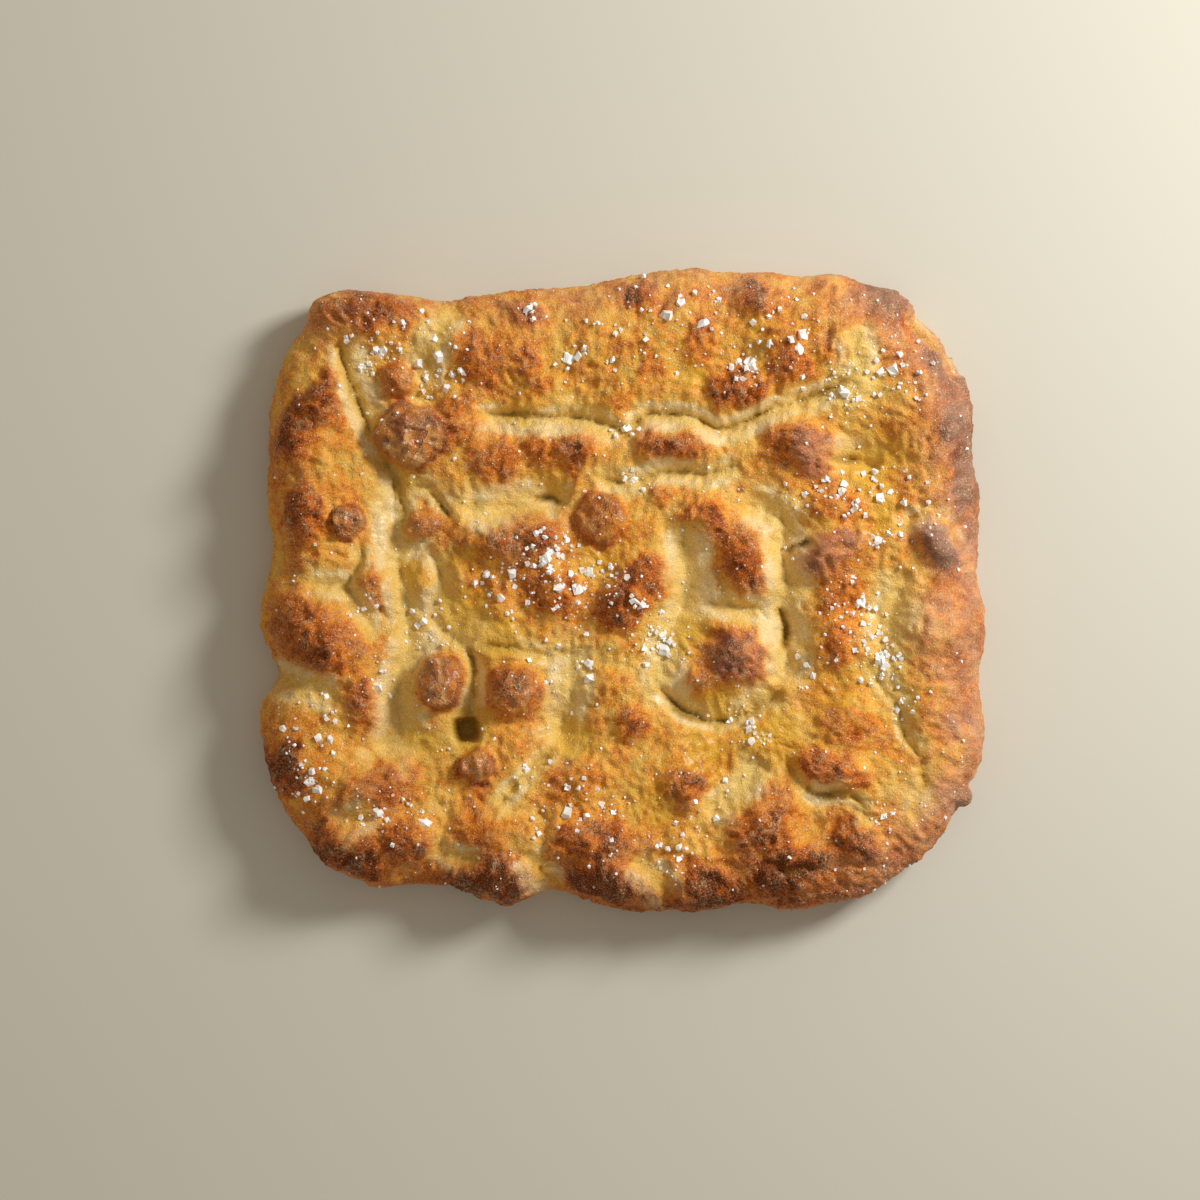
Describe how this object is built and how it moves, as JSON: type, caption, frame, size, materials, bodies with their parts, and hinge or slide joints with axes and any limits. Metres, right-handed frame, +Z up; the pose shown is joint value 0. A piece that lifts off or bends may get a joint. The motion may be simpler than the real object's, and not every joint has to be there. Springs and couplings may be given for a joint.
{
  "type": "focaccia",
  "caption": "Whole baked focaccia: a rounded square flatbread with a rolled rim, finger dents, crust bubbles and coarse salt.",
  "frame": {"origin": "middle of the underside, on the surface that the bread rests on", "axes": "+Z up through the crust, +X the right side of the bread as it lies, +Y its far side"},
  "size_m": [0.2898, 0.2568, 0.0406],
  "materials": {
    "crust": null
  },
  "bodies": {
    "root": {"focaccia": "crust"}
  },
  "joints": []
}
